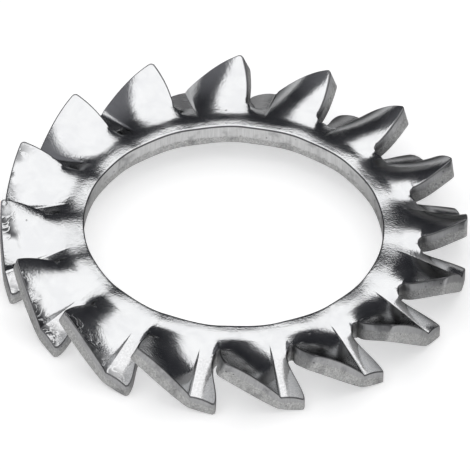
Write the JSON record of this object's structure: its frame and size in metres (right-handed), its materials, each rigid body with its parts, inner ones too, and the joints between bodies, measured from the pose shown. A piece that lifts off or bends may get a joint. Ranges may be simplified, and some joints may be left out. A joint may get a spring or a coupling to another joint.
{
  "type": "toothed lock washer",
  "caption": "Flat spring-steel ring whose outer teeth are twisted and coined so that their corners bite under a screw head or nut.",
  "frame": {"origin": "centre of the bore, half way through the sheet", "axes": "+Z along the bore's axis, so that seen from above the clockwise edge of each tooth is raised; +X along the middle of one tooth"},
  "size_m": [0.0204, 0.0204, 0.003],
  "materials": {
    "zinc_plated_steel": "bright zinc plate over stamped spring steel"
  },
  "bodies": {
    "root": {"lock_washer": "zinc_plated_steel"}
  },
  "joints": []
}
